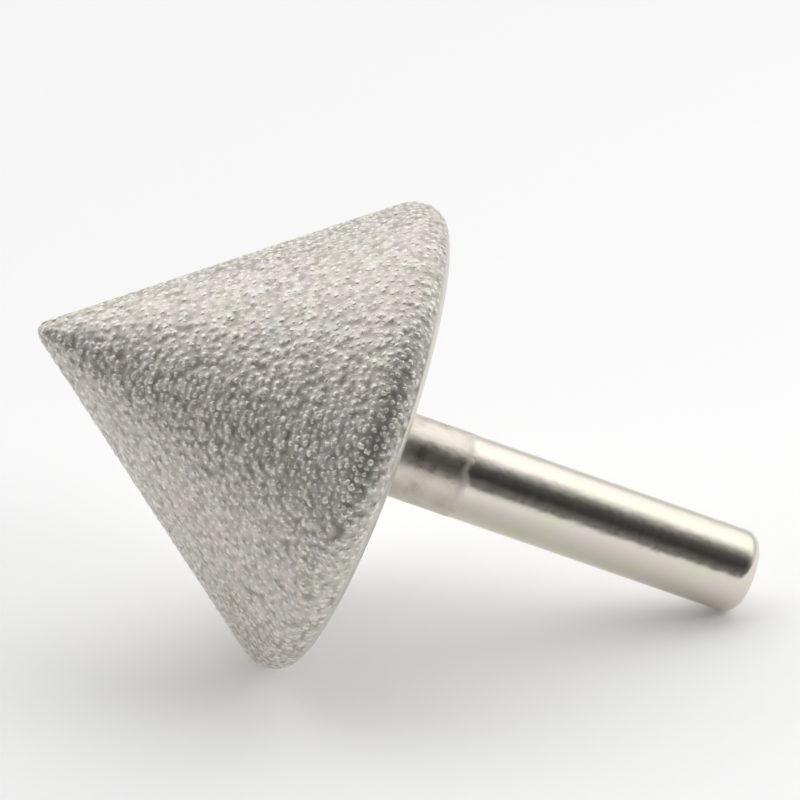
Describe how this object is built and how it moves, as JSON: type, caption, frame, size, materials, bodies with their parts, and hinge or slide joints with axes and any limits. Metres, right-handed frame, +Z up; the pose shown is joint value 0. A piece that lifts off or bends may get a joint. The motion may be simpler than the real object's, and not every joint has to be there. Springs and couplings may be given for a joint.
{
  "type": "diamond chamfering bit",
  "caption": "Conical chamfering and countersinking bit with an electroplated diamond head on a plain round shank.",
  "frame": {"origin": "on the surface that the bit lies on, below the middle of its length and width", "axes": "+X from the tip towards the free end of the shank, +Z up; the bit's own axis lies in the XZ plane and slopes down towards +X"},
  "size_m": [0.0644, 0.045, 0.0411],
  "materials": {
    "head_steel": "turned steel under a thin bright nickel plating",
    "diamond_grit": "coarse diamond grit in an electroplated nickel bond, rough and faintly glittering",
    "shank_steel": "ground and polished, with thin nickel plating next to the head"
  },
  "bodies": {
    "root": {"head_body": "head_steel", "diamond_coat": "diamond_grit", "shank": "shank_steel"}
  },
  "joints": []
}
